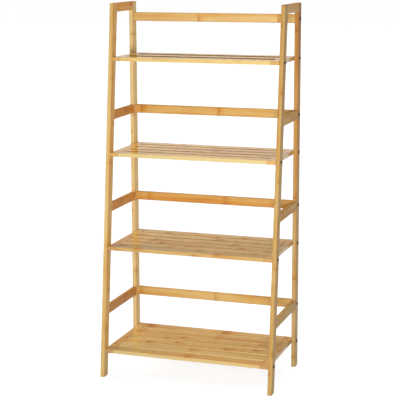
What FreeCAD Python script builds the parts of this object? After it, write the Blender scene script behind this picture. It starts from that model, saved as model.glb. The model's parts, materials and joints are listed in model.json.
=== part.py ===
"""Four-tier slatted bamboo ladder shelf, built piece by piece.

Frame: X to the right, Y to the rear, Z up, millimetres. The origin is on the floor, midway between
the left and right legs and midway between the front and rear faces of the feet.
"""
import FreeCAD, Part
import math
import os
import Sketcher

Vector = FreeCAD.Vector

SIZES = [
    # Overall shape of the two side frames
    ("unit_width", 578),
    ("unit_height", 1200),
    ("floor_depth", 325),
    ("top_depth", 195),
    ("leg_thick", 14),
    ("leg_depth", 32),
    ("rail_height", 28),
    ("back_rail_thick", 14),
    # Shelf tops: the upper three by how far each lies under the leg tops or the shelf above it,
    # the bottom one by its height above the floor
    ("top_shelf_drop", 169.5),
    ("upper_shelf_drop", 303),
    ("lower_shelf_drop", 301),
    ("bottom_shelf_level", 92.5),
    # Tops of the back and guard rails above their shelf
    ("top_rail_rise", 133.5),
    ("upper_rail_rise", 130.5),
    ("lower_rail_rise", 135),
    ("bottom_rail_rise", 136),
    # Slatted shelves, whose gaps leave slats of about one width on all four
    ("shelf_thick", 12),
    ("end_rail_width", 28),
    ("top_slat_gap", 45.6),
    ("upper_slat_gap", 10.5),
    ("lower_slat_gap", 6.7),
    ("bottom_slat_gap", 14),
    # Tongues of the slats in the end rails, and tenons of the side rails in the legs
    ("tongue_length", 6),
    ("tongue_thick", 5),
    ("tongue_inset", 6),
    ("tenon_length", 10),
    ("tenon_thick", 6),
    ("tenon_inset", 4),
    # Screws
    ("screw_dia", 5),
    ("screw_length", 28),
    ("head_dia", 9.5),
    ("head_height", 2.75),
    ("socket_width", 4),
    ("socket_depth", 1.75),
    # Clearances and eased edges
    ("fit_clear", 0.1),
    ("screw_clear", 0.25),
    ("tip_clear", 0.5),
    ("edge_round", 2),
    ("slat_bevel", 0.5),
]

# Shelves from the top down, and the slats in each
TIERS = ["top", "upper", "lower", "bottom"]
SLAT_COUNTS = dict(zip(TIERS, (3, 5, 6, 6)))
# Shelves that have guard rails of their own at the sides: the top rails serve the top shelf
GUARDED_TIERS = TIERS[1:]
SIDES = {"left": -1, "right": 1}
HALF_TURN = FreeCAD.Rotation(Vector(0, 0, 1), 180)
# Screw shanks and their holes lie inside the wood, so they have flat sides, which keeps faces few
SHANK_SIDES = 8
SOCKET_SIDES = 6

doc = FreeCAD.newDocument("ladder_shelf")
sheet = doc.addObject("Spreadsheet::Sheet", "Sizes")
for row, (alias, value) in enumerate(SIZES, start=1):
    sheet.set(f"A{row}", alias)
    sheet.set(f"B{row}", str(value))
    sheet.setAlias(f"B{row}", alias)
doc.recompute()

# Formulas in terms of the sheet, each written once and used by every piece that it concerns
RAKE = "(Sizes.floor_depth - Sizes.top_depth)"
REAR_FACE = "(Sizes.floor_depth / 2)"
REAR_JOINT = f"({REAR_FACE} - Sizes.leg_depth)"
REAR_LEG_MID = f"({REAR_FACE} - Sizes.leg_depth / 2)"
LEG_MID_X = "(Sizes.unit_width / 2 - Sizes.leg_thick / 2)"
INNER_FACE_X = "(Sizes.unit_width / 2 - Sizes.leg_thick)"
SHELF_SPAN = "(Sizes.unit_width - 2 * Sizes.leg_thick)"
SLAT_SPAN = f"({SHELF_SPAN} - 2 * Sizes.end_rail_width)"
LEG_HOLE = "(Sizes.screw_dia + 2 * Sizes.screw_clear)"
PILOT_HOLE = "(Sizes.screw_dia + 2 * Sizes.fit_clear)"
PILOT_DEPTH = "(Sizes.screw_length - Sizes.leg_thick + Sizes.tip_clear)"
TENON_HEIGHT = "(Sizes.rail_height - 2 * Sizes.tenon_inset)"
TENON_MORTISE_DEPTH = "(Sizes.tenon_length + Sizes.tip_clear)"
TONGUE_MORTISE_DEPTH = "(Sizes.tongue_length + Sizes.tip_clear)"
TOP_LEVEL = "(Sizes.unit_height - Sizes.top_shelf_drop)"
UPPER_LEVEL = f"({TOP_LEVEL} - Sizes.upper_shelf_drop)"
LOWER_LEVEL = f"({UPPER_LEVEL} - Sizes.lower_shelf_drop)"
SHELF_LEVELS = dict(zip(TIERS, (TOP_LEVEL, UPPER_LEVEL, LOWER_LEVEL, "Sizes.bottom_shelf_level")))


def number(formula):
    """Value of a formula with the sizes now in the sheet."""
    return float(sheet.evalExpression(formula))


def with_clearance(size):
    """Size of the mortise for a tongue or tenon of a size."""
    return f"({size} + 2 * Sizes.fit_clear)"


def rake_at(height):
    """How far the front leg has moved to the rear at a height."""
    return f"({RAKE} * {height} / Sizes.unit_height)"


def front_face(height):
    """Y of the front leg's front face at a height."""
    return f"({rake_at(height)} - {REAR_FACE})"


def front_joint(height):
    """Y of the front leg's rear face at a height."""
    return f"({front_face(height)} + Sizes.leg_depth)"


def shelf_mid(tier):
    """Height of the middle of a shelf's thickness."""
    return f"({SHELF_LEVELS[tier]} - Sizes.shelf_thick / 2)"


def shelf_depth(tier):
    """Depth of a shelf, which is flush with the legs at the front and at the rear."""
    return f"({REAR_FACE} - {front_face(shelf_mid(tier))})"


def slat_width(tier):
    count = SLAT_COUNTS[tier]
    return f"(({shelf_depth(tier)} - {count - 1} * Sizes.{tier}_slat_gap) / {count})"


def slat_pitch(tier):
    return f"({slat_width(tier)} + Sizes.{tier}_slat_gap)"


def tongue_width(tier):
    return f"({slat_width(tier)} - 2 * Sizes.tongue_inset)"


def guard_mid(tier):
    """Height of the middle of the guard rails and the back rail above a shelf."""
    return f"({SHELF_LEVELS[tier]} + Sizes.{tier}_rail_rise - Sizes.rail_height / 2)"


TOP_RAIL_MID = "(Sizes.unit_height - Sizes.rail_height / 2)"
SIDE_RAIL_MIDS = [TOP_RAIL_MID] + [guard_mid(tier) for tier in GUARDED_TIERS]


def new_body(name):
    body = doc.addObject("PartDesign::Body", name)
    body.Label = name
    return body


def new_sketch(body, name, role, offset="0"):
    """Sketch on one of the body's own planes, moved along that plane's normal by a formula."""
    sketch = body.newObject("Sketcher::SketchObject", name)
    plane = next(feature for feature in body.Origin.OriginFeatures if feature.Role == role)
    sketch.AttachmentSupport = [(plane, "")]
    sketch.MapMode = "FlatFace"
    sketch.setExpression("AttachmentOffset.Base.z", offset)
    return sketch


def pin_point(sketch, geometry, point, across, up):
    """Hold a point of the sketch at two formulas; one that is "0" puts it on an axis."""
    for kind, axis, formula in (("DistanceX", -2, across), ("DistanceY", -1, up)):
        if formula == "0":
            sketch.addConstraint(Sketcher.Constraint("PointOnObject", geometry, point, axis))
        else:
            rule = Sketcher.Constraint(kind, geometry, point, number(formula))
            index = sketch.addConstraint(rule)
            sketch.setExpression(f"Constraints[{index}]", formula)


def add_polygon(sketch, corners):
    """Closed outline through corners that are given as pairs of formulas."""
    places = [Vector(number(across), number(up), 0) for across, up in corners]
    first = sketch.GeometryCount
    count = len(places)
    for index in range(count):
        sketch.addGeometry(Part.LineSegment(places[index], places[(index + 1) % count]))
    for index in range(count):
        following = first + (index + 1) % count
        sketch.addConstraint(Sketcher.Constraint("Coincident", first + index, 2, following, 1))
    for index, (across, up) in enumerate(corners):
        pin_point(sketch, first + index, 1, across, up)


def add_rectangle(sketch, width, height, across="0", up="0"):
    """Rectangle of a width and height about a centre, all of them formulas."""
    left = f"{across} - {width} / 2"
    right = f"{across} + {width} / 2"
    low = f"{up} - {height} / 2"
    high = f"{up} + {height} / 2"
    add_polygon(sketch, [(left, low), (right, low), (right, high), (left, high)])


def add_flat_sided(sketch, sides, width, across="0", up="0"):
    """Regular polygon of a width across its flats about a centre."""
    half_angle = math.pi / sides
    reach = 0.5 / math.cos(half_angle)
    corners = []
    for index in range(sides):
        angle = (2 * index + 1) * half_angle
        corners.append((f"{across} + {reach * math.cos(angle):.6f} * {width}",
                        f"{up} + {reach * math.sin(angle):.6f} * {width}"))
    add_polygon(sketch, corners)


def add_circle(sketch, diameter):
    """Circle about the sketch's origin."""
    circle = sketch.addGeometry(Part.Circle(Vector(), Vector(0, 0, 1), number(diameter) / 2))
    pin_point(sketch, circle, 3, "0", "0")
    index = sketch.addConstraint(Sketcher.Constraint("Diameter", circle, number(diameter)))
    sketch.setExpression(f"Constraints[{index}]", diameter)


def pad(body, name, sketch, length, side="One side", flip=False):
    feature = body.newObject("PartDesign::Pad", name)
    feature.Profile = sketch
    feature.SideType = side
    feature.Reversed = flip
    feature.setExpression("Length", length)
    body.Tip = feature
    doc.recompute()
    return feature


def pocket(body, name, sketch, flip=False):
    """Cut from the sketch's plane out through the piece: against the normal, or along it if flipped."""
    before = body.Shape.Volume
    feature = body.newObject("PartDesign::Pocket", name)
    feature.Profile = sketch
    feature.Type = "ThroughAll"
    feature.Reversed = flip
    body.Tip = feature
    doc.recompute()
    if body.Shape.Volume >= before:
        raise RuntimeError(f"{body.Label}: {name} cuts nothing")
    return feature


def edges_along(feature, direction):
    """Names of the straight edges of a feature that run along a direction."""
    unit = Vector(direction).normalize()
    names = []
    for index, edge in enumerate(feature.Shape.Edges, start=1):
        if abs(edge.tangentAt(edge.FirstParameter).dot(unit)) > 0.9999:
            names.append(f"Edge{index}")
    return names


def round_edges(body, base, direction):
    """Round the long edges of a leg or rail."""
    feature = body.newObject("PartDesign::Fillet", "rounded_edges")
    feature.Base = (base, edges_along(base, direction))
    feature.setExpression("Radius", "Sizes.edge_round")
    body.Tip = feature
    doc.recompute()


def bevel_edges(body, base, direction):
    """Bevel the long edges of a slat or end rail."""
    feature = body.newObject("PartDesign::Chamfer", "bevelled_edges")
    feature.Base = (base, edges_along(base, direction))
    feature.setExpression("Size", "Sizes.slat_bevel")
    body.Tip = feature
    doc.recompute()


def place(body, across, along, up):
    body.setExpression("Placement.Base.x", across)
    body.setExpression("Placement.Base.y", along)
    body.setExpression("Placement.Base.z", up)


def add_tenon_mortise(sketch, mid):
    """Outline of the mortise for a side rail whose middle is at a height."""
    add_rectangle(sketch, with_clearance("Sizes.tenon_thick"), with_clearance(TENON_HEIGHT), up=mid)


def make_rear_leg(side):
    """Upright leg with its rear face at local y = 0."""
    body = new_body(f"{side}_rear_leg")
    outline = new_sketch(body, "outline", "YZ_Plane")
    add_rectangle(outline, "Sizes.leg_depth", "Sizes.unit_height",
                  "-Sizes.leg_depth / 2", "Sizes.unit_height / 2")
    stock = pad(body, "stock", outline, "Sizes.leg_thick", "Symmetric")
    round_edges(body, stock, (0, 0, 1))

    holes = new_sketch(body, "screw_holes", "YZ_Plane", "Sizes.leg_thick / 2")
    for tier in TIERS:
        for height in (shelf_mid(tier), guard_mid(tier)):
            add_flat_sided(holes, SHANK_SIDES, LEG_HOLE, "-Sizes.leg_depth / 2", height)
    pocket(body, "drilling", holes)

    mortises = new_sketch(body, "mortises", "XZ_Plane", f"Sizes.leg_depth - {TENON_MORTISE_DEPTH}")
    for mid in SIDE_RAIL_MIDS:
        add_tenon_mortise(mortises, mid)
    pocket(body, "mortising", mortises, flip=True)
    place(body, f"{SIDES[side]} * {LEG_MID_X}", REAR_FACE, "0")
    return body


def make_front_leg(side):
    """Raked leg, cut level at both ends, with the front of its foot at local y = 0."""
    body = new_body(f"{side}_front_leg")
    outline = new_sketch(body, "outline", "YZ_Plane")
    add_polygon(outline, [("0", "0"),
                          ("Sizes.leg_depth", "0"),
                          (f"Sizes.leg_depth + {RAKE}", "Sizes.unit_height"),
                          (RAKE, "Sizes.unit_height")])
    stock = pad(body, "stock", outline, "Sizes.leg_thick", "Symmetric")
    round_edges(body, stock, (0, number(RAKE), number("Sizes.unit_height")))

    holes = new_sketch(body, "screw_holes", "YZ_Plane", "Sizes.leg_thick / 2")
    for tier in TIERS:
        height = shelf_mid(tier)
        along = f"({rake_at(height)} + Sizes.leg_depth / 2)"
        add_flat_sided(holes, SHANK_SIDES, LEG_HOLE, along, height)
    pocket(body, "drilling", holes)

    for index, mid in enumerate(SIDE_RAIL_MIDS, start=1):
        depth = f"{TENON_MORTISE_DEPTH} - Sizes.leg_depth - {rake_at(mid)}"
        mortise = new_sketch(body, f"mortise_{index}", "XZ_Plane", depth)
        add_tenon_mortise(mortise, mid)
        pocket(body, f"mortising_{index}", mortise)
    place(body, f"{SIDES[side]} * {LEG_MID_X}", f"-{REAR_FACE}", "0")
    return body


def make_side_rail(side, name, mid):
    """Rail between a front and a rear leg, with a tenon at each end.

    Its front shoulder follows the rake of the leg, while the tenon runs level into it.
    """
    body = new_body(f"{side}_{name}")
    outline = new_sketch(body, "outline", "YZ_Plane")
    half = "Sizes.rail_height / 2"
    low = f"({front_joint(f'({mid} - {half})')} - {REAR_JOINT})"
    high = f"({front_joint(f'({mid} + {half})')} - {REAR_JOINT})"
    add_polygon(outline, [(low, f"-{half}"), ("0", f"-{half}"), ("0", half), (high, half)])
    stock = pad(body, "stock", outline, "Sizes.leg_thick", "Symmetric")
    round_edges(body, stock, (0, 1, 0))

    tenon = new_sketch(body, "tenon", "XZ_Plane", "-Sizes.tenon_length")
    add_rectangle(tenon, "Sizes.tenon_thick", TENON_HEIGHT)
    pad(body, "tenons", tenon, f"{REAR_JOINT} - {front_joint(mid)} + 2 * Sizes.tenon_length")
    place(body, f"{SIDES[side]} * {LEG_MID_X}", REAR_JOINT, mid)
    return body


def make_back_rail(tier):
    """Rail between the rear legs, drilled at each end for a screw."""
    body = new_body(f"{tier}_back_rail")
    section = new_sketch(body, "section", "YZ_Plane")
    add_rectangle(section, "Sizes.back_rail_thick", "Sizes.rail_height")
    stock = pad(body, "stock", section, SHELF_SPAN, "Symmetric")
    round_edges(body, stock, (1, 0, 0))

    hole_end = f"({SHELF_SPAN} / 2 - {PILOT_DEPTH})"
    for side, sign in SIDES.items():
        hole = new_sketch(body, f"{side}_hole", "YZ_Plane", f"{sign} * {hole_end}")
        add_flat_sided(hole, SHANK_SIDES, PILOT_HOLE)
        pocket(body, f"{side}_drilling", hole, flip=sign > 0)
    place(body, "0", REAR_LEG_MID, guard_mid(tier))
    return body


def make_end_rail(tier, side):
    """End rail of a shelf. Screw holes on the side that meets the legs, mortises on the other.

    The rail is the same turned end for end, so the right one is the left one after half a turn.
    """
    body = new_body(f"{tier}_shelf_{side}_end_rail")
    section = new_sketch(body, "section", "XZ_Plane")
    add_rectangle(section, "Sizes.end_rail_width", "Sizes.shelf_thick")
    stock = pad(body, "stock", section, shelf_depth(tier))
    bevel_edges(body, stock, (0, 1, 0))

    holes = new_sketch(body, "screw_holes", "YZ_Plane",
                       f"{PILOT_DEPTH} - Sizes.end_rail_width / 2")
    for along in ("-Sizes.leg_depth / 2", f"Sizes.leg_depth / 2 - {shelf_depth(tier)}"):
        add_flat_sided(holes, SHANK_SIDES, PILOT_HOLE, along)
    pocket(body, "drilling", holes)

    mortise = new_sketch(body, "mortise", "YZ_Plane",
                         f"Sizes.end_rail_width / 2 - {TONGUE_MORTISE_DEPTH}")
    add_rectangle(mortise, with_clearance(tongue_width(tier)), with_clearance("Sizes.tongue_thick"),
                  f"-{slat_width(tier)} / 2")
    cut = pocket(body, "mortising", mortise, flip=True)
    row = body.newObject("PartDesign::LinearPattern", "mortise_row")
    row.Originals = [cut]
    row.Direction = (mortise, ["H_Axis"])
    row.Reversed = True
    row.setExpression("Length", f"{SLAT_COUNTS[tier] - 1} * {slat_pitch(tier)}")
    row.Occurrences = SLAT_COUNTS[tier]
    body.Tip = row
    doc.recompute()

    along = REAR_FACE
    if side == "right":
        body.Placement = FreeCAD.Placement(Vector(), HALF_TURN)
        along = front_face(shelf_mid(tier))
    across = f"{SIDES[side]} * ({INNER_FACE_X} - Sizes.end_rail_width / 2)"
    place(body, across, along, shelf_mid(tier))
    return body


def make_slat(tier, index):
    """Slat with a tongue at each end; slats are numbered from the front."""
    body = new_body(f"{tier}_shelf_slat_{index}")
    section = new_sketch(body, "section", "YZ_Plane")
    add_rectangle(section, slat_width(tier), "Sizes.shelf_thick")
    stock = pad(body, "stock", section, SLAT_SPAN, "Symmetric")
    bevel_edges(body, stock, (1, 0, 0))
    tongue = new_sketch(body, "tongue", "YZ_Plane")
    add_rectangle(tongue, tongue_width(tier), "Sizes.tongue_thick")
    pad(body, "tongues", tongue, f"{SLAT_SPAN} + 2 * Sizes.tongue_length", "Symmetric")
    first = f"{front_face(shelf_mid(tier))} + {slat_width(tier)} / 2"
    place(body, "0", f"{first} + {index - 1} * {slat_pitch(tier)}", shelf_mid(tier))
    return body


def make_screw():
    """Socket-head screw for the right-hand side: underside of the head at x = 0, shank towards -X."""
    body = new_body("screw_pattern")
    head = new_sketch(body, "head_outline", "YZ_Plane")
    add_circle(head, "Sizes.head_dia")
    pad(body, "head", head, "Sizes.head_height")
    shank = new_sketch(body, "shank_outline", "YZ_Plane")
    add_flat_sided(shank, SHANK_SIDES, "Sizes.screw_dia")
    pad(body, "shank", shank, "Sizes.screw_length", flip=True)
    socket = new_sketch(body, "socket_outline", "YZ_Plane",
                        "Sizes.head_height - Sizes.socket_depth")
    add_flat_sided(socket, SOCKET_SIDES, "Sizes.socket_width")
    pocket(body, "socket", socket, flip=True)
    return body


def make_screw_group(name, pattern, spots):
    """One node of separate screws on both sides, each at a spot on the outer faces of the legs."""
    outer = number("Sizes.unit_width / 2")
    copies = []
    for along, up in spots:
        for turn, across in ((FreeCAD.Rotation(), outer), (HALF_TURN, -outer)):
            copy = pattern.Shape.copy()
            copy.Placement = FreeCAD.Placement(Vector(across, number(along), number(up)), turn)
            copies.append(copy)
    group = doc.addObject("Part::Feature", name)
    group.Label = name
    group.Shape = Part.makeCompound(copies)
    group.Placement = FreeCAD.Placement()
    return group


nodes = []
for side in SIDES:
    nodes.append(make_front_leg(side))
    nodes.append(make_rear_leg(side))
    nodes.append(make_side_rail(side, "top_rail", TOP_RAIL_MID))
    for tier in GUARDED_TIERS:
        nodes.append(make_side_rail(side, f"{tier}_guard_rail", guard_mid(tier)))

for tier in TIERS:
    nodes.append(make_back_rail(tier))
    for side in SIDES:
        nodes.append(make_end_rail(tier, side))
    for index in range(1, SLAT_COUNTS[tier] + 1):
        nodes.append(make_slat(tier, index))

shelf_spots = []
for tier in TIERS:
    level = shelf_mid(tier)
    shelf_spots.append((f"{front_face(level)} + Sizes.leg_depth / 2", level))
    shelf_spots.append((REAR_LEG_MID, level))
back_rail_spots = [(REAR_LEG_MID, guard_mid(tier)) for tier in TIERS]
screw = make_screw()
nodes.append(make_screw_group("shelf_screws", screw, shelf_spots))
nodes.append(make_screw_group("back_rail_screws", screw, back_rail_spots))
doc.recompute()

for item in doc.Objects:
    if "Invalid" in item.State or "Error" in item.State:
        raise RuntimeError(f"{item.Label} did not compute: {item.State}")
for node in nodes:
    if node.Shape.isNull() or not node.Shape.isValid():
        raise RuntimeError(f"{node.Label} has no valid shape")

os.makedirs("parts", exist_ok=True)
for node in nodes:
    node.Shape.exportStep(f"parts/{node.Label}.step")
print(f"wrote {len(nodes)} nodes")
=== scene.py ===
"""Looks for a four-tier slatted bamboo ladder shelf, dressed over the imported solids."""
import json
import math

import bpy
import numpy as np
from mathutils import Matrix, Vector

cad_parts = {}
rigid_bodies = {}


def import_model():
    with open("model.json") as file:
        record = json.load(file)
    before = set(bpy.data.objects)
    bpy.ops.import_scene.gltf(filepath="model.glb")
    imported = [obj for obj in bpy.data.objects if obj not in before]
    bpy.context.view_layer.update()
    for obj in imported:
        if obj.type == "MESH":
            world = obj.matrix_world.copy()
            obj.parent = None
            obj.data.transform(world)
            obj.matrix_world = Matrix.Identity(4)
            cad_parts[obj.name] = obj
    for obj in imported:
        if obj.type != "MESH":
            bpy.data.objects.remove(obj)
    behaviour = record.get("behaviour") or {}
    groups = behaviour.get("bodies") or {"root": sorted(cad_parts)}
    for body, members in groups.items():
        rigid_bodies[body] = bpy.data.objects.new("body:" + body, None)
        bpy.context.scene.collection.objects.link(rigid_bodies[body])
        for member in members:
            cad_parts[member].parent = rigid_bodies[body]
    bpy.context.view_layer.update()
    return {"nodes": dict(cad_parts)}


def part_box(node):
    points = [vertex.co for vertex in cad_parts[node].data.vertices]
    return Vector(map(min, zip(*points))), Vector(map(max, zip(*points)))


for start_object in list(bpy.data.objects):
    bpy.data.objects.remove(start_object)

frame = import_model()
nodes = frame["nodes"]
scene = bpy.context.scene

X_AXIS = Vector((1, 0, 0))
Y_AXIS = Vector((0, 1, 0))
Z_AXIS = Vector((0, 0, 1))
ABOUT_SQUARE = 0.8
LEG_DEPTH = 0.032

# Bamboo, in metres. Each piece is a stack of strips that run along one axis of the piece.
STRIP_WIDTH = 0.017
STRIP_THICKNESS = 0.006
SEAM_WIDTH = 0.00022
ARRIS_WIDTH = 0.0022
KNUCKLE_PITCH = 0.27
KNUCKLE_WANDER = 0.008
KNUCKLE_LINE = 0.0011
STAIN_BEFORE = 0.005
STAIN_BEYOND = 0.014
SKIN = 0.0002
RELIEF_DEPTH = 0.0002
# Pores of the cut ends, with their size as a share of the space between them.
PORES_PER_METRE = 900.0
PORE_SIZE = 0.33

# Colours of the bamboo by tone, from pale straw at 0 to deep honey at 1.
TONE_STOPS = (
    (0.0, (0.77, 0.54, 0.21, 1)),
    (0.3, (0.71, 0.42, 0.12, 1)),
    (0.62, (0.66, 0.3, 0.05, 1)),
    (1.0, (0.5, 0.175, 0.02, 1)),
)
KNUCKLE_BROWN = (0.2, 0.085, 0.022, 1)
SEAM_BROWN = (0.3, 0.14, 0.04, 1)
STREAK_BROWN = (0.36, 0.17, 0.05, 1)
# Brown of the finish on the arrises, also used as painted shade in the gaps between slats.
FINISH_AND_GAP_SHADE_BROWN = (0.36, 0.19, 0.06, 1)
PORE_BROWN = (0.24, 0.11, 0.04, 1)
CUT_END = (0.58, 0.34, 0.13, 1)
# Pale strip-edge colour, which also serves as a painted highlight on narrow faces.
STRIP_EDGE_AND_HIGHLIGHT = (0.68, 0.52, 0.22, 1)

# How far a mark covers the colour under it.
KNUCKLE_COVER = 0.7
SEAM_COVER = 0.28
STREAK_COVER = 0.5
CUT_COVER = 0.85

# Noise below this level shows as a dark streak, which fades in over a fifth of the noise's range.
STREAK_LEVEL = 0.36
STREAK_SMOOTH = 0.05
STREAK_GAIN = 5.0

# Looks of the pieces. TONES, SLOPES and KNUCKLES go by a piece's whole name, and the other tables
# by the first entry whose words are in the name.
# Tone of a piece, as a place on TONE_STOPS. Pieces that are not in TONES vary about TONE_BY_KIND.
TONE_BY_KIND = {"slat": 0.15, "end_rail": 0.3, "leg": 0.3, "rail": 0.58}
TONE_VARIETY = 0.2
TONES = {
    "left_front_leg": 0.26,
    "right_front_leg": 0.22,
    "left_rear_leg": 0.05,
    "right_rear_leg": 0.42,
    "top_back_rail": 0.04,
    "upper_back_rail": 0.28,
    "lower_back_rail": 0.46,
    "bottom_back_rail": 0.16,
    "left_top_rail": 0.45,
    "left_upper_guard_rail": 0.68,
    "left_lower_guard_rail": 0.66,
    "left_bottom_guard_rail": 0.62,
    "right_top_rail": 0.25,
    "right_upper_guard_rail": 0.32,
    "right_lower_guard_rail": 0.45,
    "right_bottom_guard_rail": 0.4,
}
# How much deeper the tone is at the top of a leg than at its foot.
SLOPES = {"left_front_leg": 0.2, "left_rear_leg": -0.2, "right_rear_leg": 0.75}
# A tint over the tone. Some tints are painted light and shade: the right front leg is darkened and
# the upper two shelves' slats are lightened.
TINTS_AND_PAINTED_LIGHT = {
    "top_shelf_slat": (1.2, 1.14, 0.68),
    "top_shelf": (1.2, 1.2, 0.95),
    "upper_shelf_slat": (1.2, 1.13, 0.62),
    "upper_shelf": (1.2, 1.2, 0.95),
    "lower_shelf_slat_1": (0.86, 0.83, 0.75),
    "lower_shelf": (1.0, 0.98, 0.84),
    "bottom_shelf": (0.97, 0.92, 0.84),
    "top_back_rail": (1.08, 1.1, 1.2),
    "right_front_leg": (0.77, 0.77, 0.72),
    "left_rear_leg": (1.08, 1.14, 1.3),
    "right_rear_leg": (0.85, 0.88, 1.0),
    "left_top_rail": (1.15, 1.15, 1.15),
    "right_top_rail": (1.1, 1.04, 1.08),
    "left_bottom_guard_rail": (0.82, 0.8, 0.74),
    "right_lower_guard_rail": (0.92, 0.92, 0.8),
    "right_bottom_guard_rail": (0.86, 0.88, 0.8),
}
# How far the narrow faces of a piece turn to the pale strip colour: partly the strips' paler edges,
# partly a painted highlight where they catch the light.
PALES_AND_HIGHLIGHTS = {
    "top_shelf_slat_1": 0.6,
    "upper_shelf_slat_1": 1.0,
    "bottom_shelf_slat": 0.7,
    "left_front_leg": 0.2,
}
# How far the finish and painted gap shade darken the arrises. It is least on the front slats, which
# are numbered 1.
EDGES_FINISH_AND_SHADE = {
    "slat_1": 0.2,
    "top_shelf_slat": 1.6,
    "upper_shelf_slat": 1.6,
    "lower_shelf_slat": 1.2,
    "bottom_shelf_slat": 0.8,
    "end_rail": 0.8,
    "leg": 0.8,
    "rail": 0.8,
}
# How far the stain of a knuckle spreads; as it spreads, it deepens and its line fades.
SPREADS = {"slat": 1.55, "end_rail": 1.4, "leg": 1.0, "rail": 1.0}
# How matt the lacquer is, how much it reflects, and how far the fibres stand up through it.
MATTS = {"slat": 0.04, "end_rail": 0.06, "leg": 0.4, "rail": 0.4}
REFLECTIONS = {"slat": 0.5, "end_rail": 0.5, "leg": 0.25, "rail": 0.25}
RELIEFS = {"slat": 0.06, "end_rail": 0.1, "leg": 0.35, "rail": 0.35}
LACQUER_IOR = 1.45
# Where a knuckle crosses the whole face of a back rail, in metres from the rail's left end.
KNUCKLES = {
    "top_back_rail": 0.225,
    "upper_back_rail": 0.295,
    "lower_back_rail": 0.315,
    "bottom_back_rail": 0.284,
}
# How far the knuckles of neighbouring strips lie apart, as a share of the pitch.
LOOSE_SCATTER = 1.0
TIGHT_SCATTER = 0.02
# Steps that give each piece its own number between 0 and 1 and its own place in the noise.
NUMBER_STEP = 0.618
SEED_STEP = 1.37

STEEL_BLACK = (0.012, 0.012, 0.013, 1)
STEEL_RUBBED = (0.05, 0.048, 0.045, 1)

WHITE = (1, 1, 1, 1)
# Floor: its grey for bounced light, and its grey and glow where it is seen or mirrored.
FLOOR_SIZE = 40
FLOOR_GREY = (0.35, 0.35, 0.35, 1)
SEEN_GREY = (0.32, 0.32, 0.32, 1)
SEEN_GLOW = 0.8
# World: its light, and the backdrop that gloss sees, which fades out between two heights.
WORLD_LIGHT = 0.24
BACKDROP_LIGHT = 0.72
BACKDROP_FADE = (0.165, 0.265)
# How wide a far lamp looks, in degrees.
FAR_LAMP_ANGLE = 40

# Camera: angles in degrees, lens in millimetres.
CAMERA_PLACE = (1.2742, -3.7456, 1.3533)
CAMERA_TURN = 18.7681
CAMERA_DOWN = 10.5993
CAMERA_ROLL = -0.1959
CAMERA_LENS = 112.66
CAMERA_SHIFT = -0.03


def pick(table, name, other=None):
    """The first value in a table whose words are in a name."""
    return next((value for words, value in table.items() if words in name), other)


def feed(tree, node, inputs):
    """Link or set each named input of a node."""
    for socket, value in inputs.items():
        if isinstance(value, bpy.types.NodeSocket):
            tree.links.new(value, node.inputs[socket])
        else:
            node.inputs[socket].default_value = value


def add(tree, kind, inputs=None, **settings):
    """A new node with its settings and inputs."""
    node = tree.nodes.new(kind)
    for setting, value in settings.items():
        setattr(node, setting, value)
    feed(tree, node, inputs or {})
    return node


def calc(tree, operation, *values, clamp=False):
    """The output of a Math node."""
    inputs = dict(enumerate(values))
    return add(tree, "ShaderNodeMath", inputs, operation=operation, use_clamp=clamp).outputs[0]


def vector_calc(tree, operation, *values):
    """The vector output of a Vector Math node."""
    inputs = dict(enumerate(values))
    return add(tree, "ShaderNodeVectorMath", inputs, operation=operation).outputs[0]


def dot(tree, first, second):
    """The dot product of two vectors."""
    node = add(tree, "ShaderNodeVectorMath", {0: first, 1: second}, operation="DOT_PRODUCT")
    return node.outputs["Value"]


def combined(tree, *values):
    """A vector of three values."""
    return add(tree, "ShaderNodeCombineXYZ", dict(enumerate(values))).outputs[0]


def separated(tree, vector):
    """The three values of a vector."""
    return add(tree, "ShaderNodeSeparateXYZ", {0: vector}).outputs


def bell(tree, distance, width):
    """1 where distance is 0, falling to near 0 over width."""
    ratio = calc(tree, "DIVIDE", distance, width)
    square = calc(tree, "MULTIPLY", ratio, ratio)
    return calc(tree, "DIVIDE", 1.0, calc(tree, "ADD", 1.0, calc(tree, "MULTIPLY", square, square)))


def noise(tree, place, scale, detail=2.0, roughness=0.5):
    """A noise value about 0.5, stretched by the three scales, in cycles per metre."""
    stretched = vector_calc(tree, "MULTIPLY", place, scale)
    node = add(tree, "ShaderNodeTexNoise",
               {"Vector": stretched, "Scale": 1.0, "Detail": detail, "Roughness": roughness})
    return node.outputs["Fac"]


def mixed(tree, factor, first, second):
    """The colour of a Mix node."""
    return add(tree, "ShaderNodeMix", {0: factor, 6: first, 7: second}, data_type="RGBA").outputs[2]


def covered(tree, color, mark, cover, mark_color):
    """A colour with a mark over it."""
    return mixed(tree, calc(tree, "MULTIPLY", mark, cover), color, mark_color)


def square_to(tree, normal, axis):
    """1 on faces that are about square to an axis, else 0."""
    return calc(tree, "GREATER_THAN", calc(tree, "ABSOLUTE", dot(tree, normal, axis)), ABOUT_SQUARE)


def new_material(name):
    """A new material and its node tree."""
    material = bpy.data.materials.new(name)
    material.use_nodes = True
    return material, material.node_tree


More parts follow.
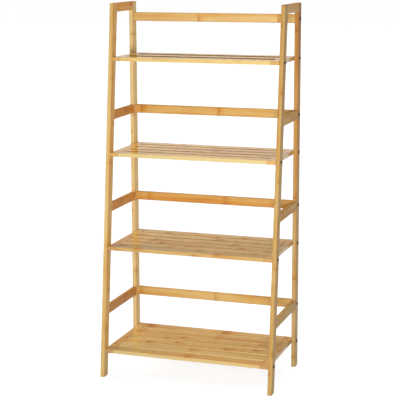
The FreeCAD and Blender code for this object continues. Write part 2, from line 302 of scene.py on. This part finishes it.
def make_bamboo_group():
    """Colour, roughness and height of laminated bamboo, from the place on the piece."""
    tree = bpy.data.node_groups.new("bamboo", "ShaderNodeTree")
    inputs = {"Grain": "Vector", "Across": "Vector", "Corner": "Vector", "Size": "Vector",
              "Strip": "Vector", "Knuckle": "Float", "Scatter": "Float", "Tone": "Float",
              "Slope": "Float", "Matt": "Float", "Tint": "Vector", "PaleAndHighlight": "Float",
              "Edge": "Float", "Spread": "Float", "Seed": "Float"}
    outputs = {"Color": "Color", "Roughness": "Float", "Height": "Float"}
    for way, sockets in (("INPUT", inputs), ("OUTPUT", outputs)):
        for socket, kind in sockets.items():
            tree.interface.new_socket(socket, in_out=way, socket_type="NodeSocket" + kind)
    given = add(tree, "NodeGroupInput").outputs
    coordinate = add(tree, "ShaderNodeTexCoord").outputs

    # Place on the piece, from its low corner: along the grain, across it, and through it.
    through = vector_calc(tree, "CROSS_PRODUCT", given["Grain"], given["Across"])
    axes = (given["Grain"], given["Across"], through)
    raw_place = combined(tree, *(dot(tree, coordinate["Object"], axis) for axis in axes))
    place = vector_calc(tree, "SUBTRACT", raw_place, given["Corner"])
    low = vector_calc(tree, "MAXIMUM", place, (SKIN, SKIN, SKIN))
    inner_size = vector_calc(tree, "SUBTRACT", given["Size"], (SKIN, SKIN, SKIN))
    inside = vector_calc(tree, "MINIMUM", low, inner_size)
    seed = given["Seed"]
    seeded = vector_calc(tree, "ADD", inside, combined(tree, seed, seed, seed))
    along = separated(tree, inside)[0]
    length = separated(tree, given["Size"])[0]

    # Strips, each with chances of its own.
    strip = separated(tree, vector_calc(tree, "DIVIDE", inside, given["Strip"]))
    strip_sizes = separated(tree, given["Strip"])
    strip_numbers = [calc(tree, "FLOOR", strip[axis]) for axis in (1, 2)]
    strip_key = combined(tree, seed, *strip_numbers)
    chance = add(tree, "ShaderNodeTexWhiteNoise", {"Vector": strip_key}, noise_dimensions="3D")
    chances = add(tree, "ShaderNodeSeparateColor", {0: chance.outputs["Color"]}).outputs
    seams = []
    for axis in (1, 2):
        part = calc(tree, "FRACT", strip[axis])
        reach = calc(tree, "MINIMUM", part, calc(tree, "SUBTRACT", 1.0, part))
        seams.append(bell(tree, calc(tree, "MULTIPLY", reach, strip_sizes[axis]), SEAM_WIDTH))
    seam = calc(tree, "MAXIMUM", *seams)

    # Knuckles: a thin dark line, with a soft stain that reaches further on one side.
    wander = calc(tree, "MULTIPLY_ADD", noise(tree, seeded, (30, 260, 260)),
                  KNUCKLE_WANDER, -KNUCKLE_WANDER / 2)
    jitter = calc(tree, "MULTIPLY", calc(tree, "SUBTRACT", chances[0], 0.5), given["Scatter"])
    turn = calc(tree, "SUBTRACT", calc(tree, "ADD", along, wander), given["Knuckle"])
    turn = calc(tree, "ADD", calc(tree, "DIVIDE", turn, strip_sizes[0]), jitter)
    turn = calc(tree, "FRACT", calc(tree, "ADD", turn, 10.5))
    offset = calc(tree, "MULTIPLY", calc(tree, "SUBTRACT", turn, 0.5), strip_sizes[0])
    stain_width = calc(tree, "MULTIPLY_ADD", calc(tree, "GREATER_THAN", offset, 0.0),
                       STAIN_BEYOND - STAIN_BEFORE, STAIN_BEFORE)
    force = calc(tree, "MULTIPLY_ADD", chances[1], 0.6, 0.4)
    stain = bell(tree, offset, calc(tree, "MULTIPLY", stain_width, given["Spread"]))
    stain = calc(tree, "MULTIPLY", stain, force)
    line = calc(tree, "MULTIPLY", bell(tree, offset, KNUCKLE_LINE), force)
    line = calc(tree, "DIVIDE", line, given["Spread"])
    stain_depth = calc(tree, "MULTIPLY_ADD", given["Spread"], 0.3, 0.1)

    # Fibres, from broad drifts of tone to hair lines.
    drift = noise(tree, seeded, (5, 22, 22))
    band = noise(tree, seeded, (4, 120, 120), roughness=0.6)
    fibre = noise(tree, seeded, (9, 420, 420), detail=3.0, roughness=0.6)
    hair = noise(tree, seeded, (22, 1900, 1900))
    streak = noise(tree, seeded, (16, 700, 700), detail=1.0)
    streak = calc(tree, "SMOOTH_MIN", streak, STREAK_LEVEL, STREAK_SMOOTH)
    streak = calc(tree, "SUBTRACT", STREAK_LEVEL, streak)
    streak = calc(tree, "MULTIPLY", streak, STREAK_GAIN, clamp=True)

    # Tone: the piece's own, moved up or down by each pattern.
    climb = calc(tree, "SUBTRACT", calc(tree, "DIVIDE", along, length), 0.5)
    tone = calc(tree, "MULTIPLY_ADD", climb, given["Slope"], given["Tone"])
    patterns = ((chances[2], 0.3), (drift, 0.9), (band, 0.9), (fibre, 0.55), (hair, 0.3))
    for pattern, tone_range in patterns:
        lowest = calc(tree, "SUBTRACT", tone, tone_range / 2)
        tone = calc(tree, "MULTIPLY_ADD", pattern, tone_range, lowest)
    tone = calc(tree, "MULTIPLY_ADD", stain, stain_depth, tone)
    ramp = add(tree, "ShaderNodeValToRGB", {0: tone})
    stops = ramp.color_ramp.elements
    for position, _ in TONE_STOPS[1:-1]:
        stops.new(position)
    for stop, (_, color) in zip(stops, TONE_STOPS):
        stop.color = color
    color = ramp.outputs["Color"]
    color = covered(tree, color, line, KNUCKLE_COVER, KNUCKLE_BROWN)
    color = covered(tree, color, seam, SEAM_COVER, SEAM_BROWN)
    color = covered(tree, color, streak, STREAK_COVER, STREAK_BROWN)

    # Cut ends show the pores of the bundles.
    cut = square_to(tree, coordinate["Normal"], given["Grain"])
    pores = add(tree, "ShaderNodeTexVoronoi", {"Vector": seeded, "Scale": PORES_PER_METRE})
    pore = bell(tree, pores.outputs["Distance"], PORE_SIZE)
    color = covered(tree, color, cut, CUT_COVER, mixed(tree, pore, CUT_END, PORE_BROWN))

    # The arrises, where two outer faces meet, are darker: partly the finish, and on the slats
    # mostly painted shade in the gaps between them.
    far = vector_calc(tree, "SUBTRACT", given["Size"], inside)
    nearest = separated(tree, vector_calc(tree, "MINIMUM", inside, far))
    close = [bell(tree, distance, ARRIS_WIDTH) for distance in nearest]
    pairs = [calc(tree, "MULTIPLY", close[a], close[b]) for a, b in ((0, 1), (1, 2), (0, 2))]
    arris = calc(tree, "MAXIMUM", calc(tree, "MAXIMUM", pairs[0], pairs[1]), pairs[2])
    # painted shade: darkens the arrises, most of all along the gaps between the slats
    finish_and_gap_shade = calc(tree, "MULTIPLY", arris, noise(tree, seeded, (40, 40, 40), detail=3.0))
    color = covered(tree, color, finish_and_gap_shade, given["Edge"], FINISH_AND_GAP_SHADE_BROWN)
    # the tint, for some pieces painted light and shade
    color = vector_calc(tree, "MULTIPLY", color, given["Tint"])

    # Narrow faces show the paler edges of the strips, together with a painted highlight where they
    # catch the light.
    narrow = square_to(tree, coordinate["Normal"], given["Across"])
    color = covered(tree, color, narrow, given["PaleAndHighlight"], STRIP_EDGE_AND_HIGHLIGHT)

    roughness = calc(tree, "MULTIPLY_ADD", fibre, 0.16, given["Matt"])
    roughness = calc(tree, "MULTIPLY_ADD", cut, 0.15, roughness)
    height = calc(tree, "MULTIPLY", hair, 0.35)
    cut_pore = calc(tree, "MULTIPLY", cut, pore)
    for pattern, rise in ((fibre, 0.5), (stain, 0.35), (seam, -0.3), (cut_pore, -0.6)):
        height = calc(tree, "MULTIPLY_ADD", pattern, rise, height)
    add(tree, "NodeGroupOutput", {"Color": color, "Roughness": roughness, "Height": height})
    return tree


def grain_axes(name):
    """The axis along the grain and the axis across the wide face of a piece."""
    if "slat" in name:
        return X_AXIS, Y_AXIS
    if "back_rail" in name:
        return X_AXIS, Z_AXIS
    if "end_rail" in name:
        return Y_AXIS, X_AXIS
    if "rear_leg" in name:
        return Z_AXIS, Y_AXIS
    if "front_leg" in name:
        low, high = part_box(name)
        lean = Vector((0, high.y - low.y - LEG_DEPTH, high.z - low.z)).normalized()
        return lean, X_AXIS.cross(lean) * -1
    return Y_AXIS, Z_AXIS


def strip_size(length, wanted):
    """The strip size nearest to wanted that divides a length evenly."""
    return length / max(1, round(length / wanted))


def make_bamboo(group, name, number):
    """Lacquered bamboo for one piece, with its own grain."""
    grain, across = grain_axes(name)
    axes = np.array([grain, across, grain.cross(across)])
    corners = np.array([vertex.co for vertex in nodes[name].data.vertices]) @ axes.T
    corner = corners.min(axis=0)
    size = corners.max(axis=0) - corner
    strip = (KNUCKLE_PITCH, strip_size(size[1], STRIP_WIDTH), strip_size(size[2], STRIP_THICKNESS))
    own_number = (number * NUMBER_STEP) % 1
    varied_tone = pick(TONE_BY_KIND, name) + TONE_VARIETY * (own_number - 0.5)
    material, tree = new_material("bamboo_" + name)
    bamboo = add(tree, "ShaderNodeGroup", node_tree=group)
    feed(tree, bamboo, {
        "Grain": grain,
        "Across": across,
        "Corner": corner,
        "Size": size,
        "Strip": strip,
        "Knuckle": KNUCKLES.get(name, own_number * KNUCKLE_PITCH),
        "Scatter": TIGHT_SCATTER if name in KNUCKLES else LOOSE_SCATTER,
        "Tone": TONES.get(name, varied_tone),
        "Slope": SLOPES.get(name, 0.0),
        "Matt": pick(MATTS, name),
        "Tint": pick(TINTS_AND_PAINTED_LIGHT, name, (1, 1, 1)),
        "PaleAndHighlight": pick(PALES_AND_HIGHLIGHTS, name, 0.0),
        "Edge": pick(EDGES_FINISH_AND_SHADE, name),
        "Spread": pick(SPREADS, name),
        "Seed": SEED_STEP * number,
    })
    bump = add(tree, "ShaderNodeBump", {"Strength": pick(RELIEFS, name), "Distance": RELIEF_DEPTH,
                                        "Height": bamboo.outputs["Height"]})
    feed(tree, tree.nodes["Principled BSDF"], {
        "Base Color": bamboo.outputs["Color"],
        "Roughness": bamboo.outputs["Roughness"],
        "Normal": bump.outputs["Normal"],
        "IOR": LACQUER_IOR,
        "Specular IOR Level": pick(REFLECTIONS, name),
    })
    return material


def make_screw_black():
    """Black-finished steel, rubbed brighter in places."""
    material, tree = new_material("screw_black_steel")
    place = add(tree, "ShaderNodeTexCoord").outputs["Object"]
    blotch = noise(tree, place, (600, 600, 600), detail=3.0, roughness=0.6)
    scuff = noise(tree, place, (2600, 900, 2600))
    bump = add(tree, "ShaderNodeBump", {"Strength": 0.2, "Distance": 0.0001, "Height": scuff})
    feed(tree, tree.nodes["Principled BSDF"], {
        "Base Color": mixed(tree, blotch, STEEL_BLACK, STEEL_RUBBED),
        "Roughness": calc(tree, "MULTIPLY_ADD", scuff, 0.3, 0.25),
        "Normal": bump.outputs["Normal"],
        "Metallic": 0.85,
    })
    return material


def dress():
    """A material for every node."""
    group = make_bamboo_group()
    screw_black = make_screw_black()
    for number, name in enumerate(sorted(nodes)):
        slot = nodes[name].material_slots[0]
        slot.link = "OBJECT"
        slot.material = screw_black if "screws" in name else make_bamboo(group, name, number)


def make_floor():
    """A pale floor that runs out to white for the camera and keeps a soft shadow."""
    bpy.ops.mesh.primitive_plane_add(size=FLOOR_SIZE)
    floor = bpy.context.object
    floor.name = "floor"
    material, tree = new_material("floor_white")
    tree.nodes.remove(tree.nodes["Principled BSDF"])
    rays = add(tree, "ShaderNodeLightPath").outputs
    mirrored = calc(tree, "MAXIMUM", rays["Is Glossy Ray"], rays["Is Transmission Ray"])
    seen = calc(tree, "MAXIMUM", rays["Is Camera Ray"], mirrored)
    plain = add(tree, "ShaderNodeBsdfDiffuse", {"Color": FLOOR_GREY}).outputs[0]
    pale = add(tree, "ShaderNodeBsdfDiffuse", {"Color": SEEN_GREY}).outputs[0]
    glow = add(tree, "ShaderNodeEmission", {"Color": WHITE, "Strength": SEEN_GLOW}).outputs[0]
    shown = add(tree, "ShaderNodeAddShader", {0: pale, 1: glow}).outputs[0]
    surface = add(tree, "ShaderNodeMixShader", {0: seen, 1: plain, 2: shown}).outputs[0]
    feed(tree, tree.nodes["Material Output"], {"Surface": surface})
    floor.data.materials.append(material)


def make_world():
    """Even studio light. The backdrop is white for the camera; gloss sees it dim overhead."""
    world = bpy.data.worlds.new("studio")
    scene.world = world
    world.use_nodes = True
    tree = world.node_tree
    tree.nodes.clear()
    rays = add(tree, "ShaderNodeLightPath").outputs
    direction = add(tree, "ShaderNodeTexCoord").outputs["Generated"]
    backdrop = add(tree, "ShaderNodeMapRange", {
        "Value": separated(tree, direction)[2],
        "From Min": BACKDROP_FADE[0],
        "From Max": BACKDROP_FADE[1],
        "To Min": BACKDROP_LIGHT,
        "To Max": WORLD_LIGHT,
    }).outputs[0]
    mirrored = calc(tree, "MAXIMUM", rays["Is Glossy Ray"], rays["Is Transmission Ray"])
    extra = calc(tree, "SUBTRACT", backdrop, WORLD_LIGHT)
    strength = calc(tree, "MULTIPLY_ADD", mirrored, extra, WORLD_LIGHT)
    strength = calc(tree, "MAXIMUM", strength, rays["Is Camera Ray"])
    light = add(tree, "ShaderNodeBackground", {"Color": WHITE, "Strength": strength}).outputs[0]
    add(tree, "ShaderNodeOutputWorld", {"Surface": light})


def make_soft_box(name, place, target, size, power):
    """A soft box of a width and height, aimed at a point."""
    lamp = bpy.data.objects.new(name, bpy.data.lights.new(name, "AREA"))
    lamp.data.shape = "RECTANGLE"
    lamp.data.size, lamp.data.size_y = size
    lamp.data.energy = power
    lamp.location = place
    lamp.rotation_euler = (Vector(target) - Vector(place)).to_track_quat("-Z", "Y").to_euler()
    scene.collection.objects.link(lamp)


def make_far_lamp(name, turn, height, strength):
    """A broad soft lamp, far enough away to light the whole floor alike.

    It stands at a turn to the right of the front and a height above the floor, both in degrees.
    """
    lamp = bpy.data.objects.new(name, bpy.data.lights.new(name, "SUN"))
    lamp.data.energy = strength
    lamp.data.angle = math.radians(FAR_LAMP_ANGLE)
    lamp.visible_glossy = False
    lamp.rotation_euler = (math.radians(90 - height), 0, math.radians(turn))
    scene.collection.objects.link(lamp)


def make_camera():
    """The photograph's viewpoint, found by fitting the corners of the legs and shelves."""
    camera = bpy.data.objects.new("camera", bpy.data.cameras.new("camera"))
    scene.collection.objects.link(camera)
    camera.location = CAMERA_PLACE
    turns = [Matrix.Rotation(math.radians(angle), 3, axis)
             for angle, axis in ((CAMERA_TURN, "Z"), (90 - CAMERA_DOWN, "X"), (CAMERA_ROLL, "Z"))]
    camera.rotation_euler = (turns[0] @ turns[1] @ turns[2]).to_euler()
    camera.data.lens = CAMERA_LENS
    camera.data.shift_y = CAMERA_SHIFT
    scene.camera = camera


dress()
make_floor()
make_world()
make_soft_box("front", place=(0.74, -2.2, 0.85), target=(0, 0, 0.6), size=(0.6, 0.4), power=45)
make_far_lamp("left", turn=-85, height=32, strength=2.1)
make_far_lamp("back", turn=172, height=46, strength=1.65)
make_camera()
scene.view_settings.view_transform = "Standard"
